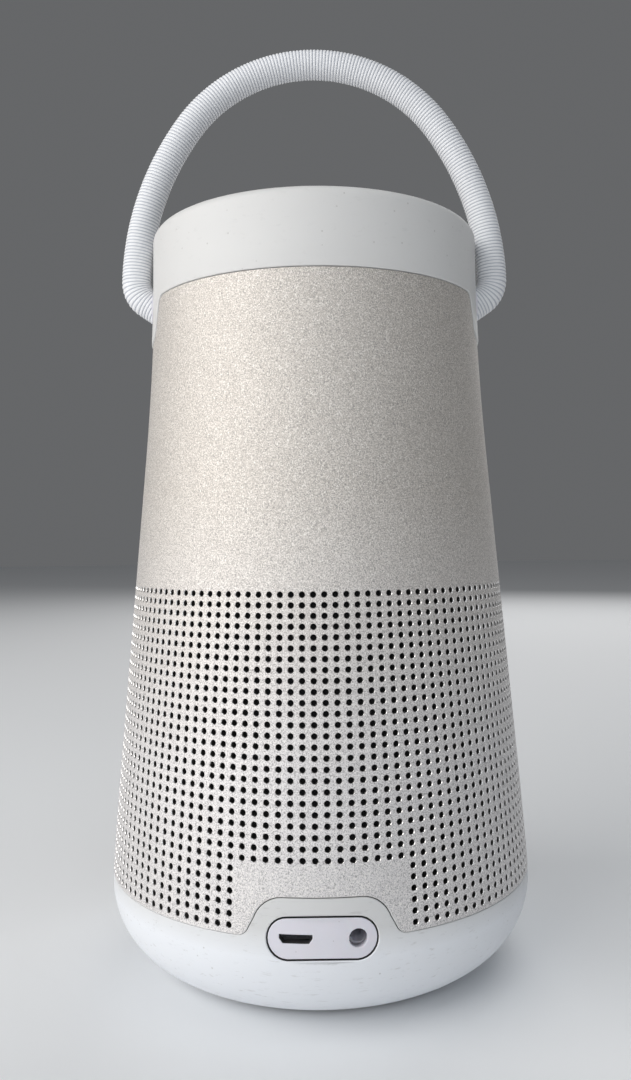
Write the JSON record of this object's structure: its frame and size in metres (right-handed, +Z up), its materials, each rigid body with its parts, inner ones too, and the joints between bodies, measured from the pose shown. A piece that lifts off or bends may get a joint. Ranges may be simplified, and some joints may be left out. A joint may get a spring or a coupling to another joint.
{
  "type": "portable bluetooth speaker",
  "caption": "Tapered cylindrical portable speaker with a perforated metal sleeve, silicone base and band, top buttons, ports near the base and a swinging carrying handle.",
  "frame": {"origin": "centre of the base, on the surface that the speaker stands on", "axes": "+Z up along the body's axis; -Y towards the port plate; the handle turns about X"},
  "size_m": [0.1056, 0.1055, 0.2375],
  "materials": {
    "aluminium": "bead-blasted, clear anodised",
    "silicone": "matte, pale grey",
    "port_plastic": "fine satin",
    "cloth": "tight black weave",
    "handle_fabric": "fine cross ribs",
    "handle_core": "plain",
    "foot_rubber": "matte",
    "structure": "moulded",
    "steel": "zinc plated",
    "brass": "brass, turned",
    "gold": "gold plated",
    "board": "solder mask",
    "chip": "moulded package",
    "cable": "polyimide film",
    "cone": "pressed paper",
    "surround": "matte",
    "copper": "wound copper",
    "magnet": "sintered",
    "cell": "sleeved steel can",
    "light": "clear"
  },
  "bodies": {
    "housing": {"aluminium_sleeve": "aluminium", "grille_cloth": "cloth", "top_band": "silicone", "base_boot": "silicone", "port_plate": "port_plastic", "usb_socket": "steel", "aux_socket": "port_plastic", "foot_ring": "foot_rubber", "base_plate": "structure", "tripod_insert": "brass", "charging_contacts": "gold", "main_board": "board", "board_components": "chip", "ribbon_cable": "cable", "ribbon_connectors": "structure", "deflector": "structure", "cabinet": "structure", "cabinet_lid": "structure", "driver_gasket": "surround", "driver_frame": "steel", "front_plate": "steel", "driver_magnet": "magnet", "back_plate": "steel", "driver_surround": "surround", "driver_spider": "cone", "right_radiator_rim": "structure", "right_radiator_surround": "surround", "left_radiator_rim": "structure", "left_radiator_surround": "surround", "battery_cells": "cell", "battery_holder": "structure", "top_housing": "structure", "control_board": "board", "tact_switches": "chip", "status_lights": "light", "light_guides": "light", "microphone": "chip", "antenna_ring": "copper", "button_deck": "structure", "control_pad": "silicone", "pivot_washers": "steel", "case_screws": "steel", "small_screws": "steel"},
    "handle": {"handle_grip": "handle_fabric", "handle_core": "handle_core", "right_handle_end": "port_plastic", "left_handle_end": "port_plastic", "pivot_clips": "steel"},
    "cone": {"driver_cone": "cone", "voice_coil": "copper"},
    "right_radiator": {"right_radiator_weight": "magnet"},
    "left_radiator": {"left_radiator_weight": "magnet"},
    "play_button": {"play_button": "silicone"},
    "volume_up_button": {"volume_up_button": "silicone"},
    "source_button": {"source_button": "silicone"},
    "wireless_button": {"wireless_button": "silicone"},
    "power_button": {"power_button": "silicone"},
    "volume_down_button": {"volume_down_button": "silicone"}
  },
  "joints": [
    {"name": "handle_swing", "type": "hinge", "parent": "housing", "child": "handle", "pos_m": [0, 0, 0.165], "axis": [1, 0, 0], "range_deg": [-120, 120]},
    {"name": "cone_stroke", "type": "slide", "parent": "housing", "child": "cone", "axis": [0, 0, 1], "range_m": [-0.002, 0.002], "stiffness_N_per_m": 2200, "deforming": ["driver_surround", "driver_spider"]},
    {"name": "right_radiator_stroke", "type": "slide", "parent": "housing", "child": "right_radiator", "axis": [1, 0, 0], "range_m": [-0.0022, 0.0022], "stiffness_N_per_m": 1200, "deforming": ["right_radiator_surround"]},
    {"name": "left_radiator_stroke", "type": "slide", "parent": "housing", "child": "left_radiator", "axis": [-1, 0, 0], "range_m": [-0.0022, 0.0022], "stiffness_N_per_m": 1200, "deforming": ["left_radiator_surround"]},
    {"name": "play_button_press", "type": "slide", "parent": "housing", "child": "play_button", "axis": [0, 0, -1], "range_m": [0, 0.0006], "stiffness_N_per_m": 2500, "springref_m": -0.0003},
    {"name": "volume_up_button_press", "type": "slide", "parent": "housing", "child": "volume_up_button", "axis": [0, 0, -1], "range_m": [0, 0.0006], "stiffness_N_per_m": 2500, "springref_m": -0.0003},
    {"name": "source_button_press", "type": "slide", "parent": "housing", "child": "source_button", "axis": [0, 0, -1], "range_m": [0, 0.0006], "stiffness_N_per_m": 2500, "springref_m": -0.0003},
    {"name": "wireless_button_press", "type": "slide", "parent": "housing", "child": "wireless_button", "axis": [0, 0, -1], "range_m": [0, 0.0006], "stiffness_N_per_m": 2500, "springref_m": -0.0003},
    {"name": "power_button_press", "type": "slide", "parent": "housing", "child": "power_button", "axis": [0, 0, -1], "range_m": [0, 0.0006], "stiffness_N_per_m": 2500, "springref_m": -0.0003},
    {"name": "volume_down_button_press", "type": "slide", "parent": "housing", "child": "volume_down_button", "axis": [0, 0, -1], "range_m": [0, 0.0006], "stiffness_N_per_m": 2500, "springref_m": -0.0003}
  ]
}
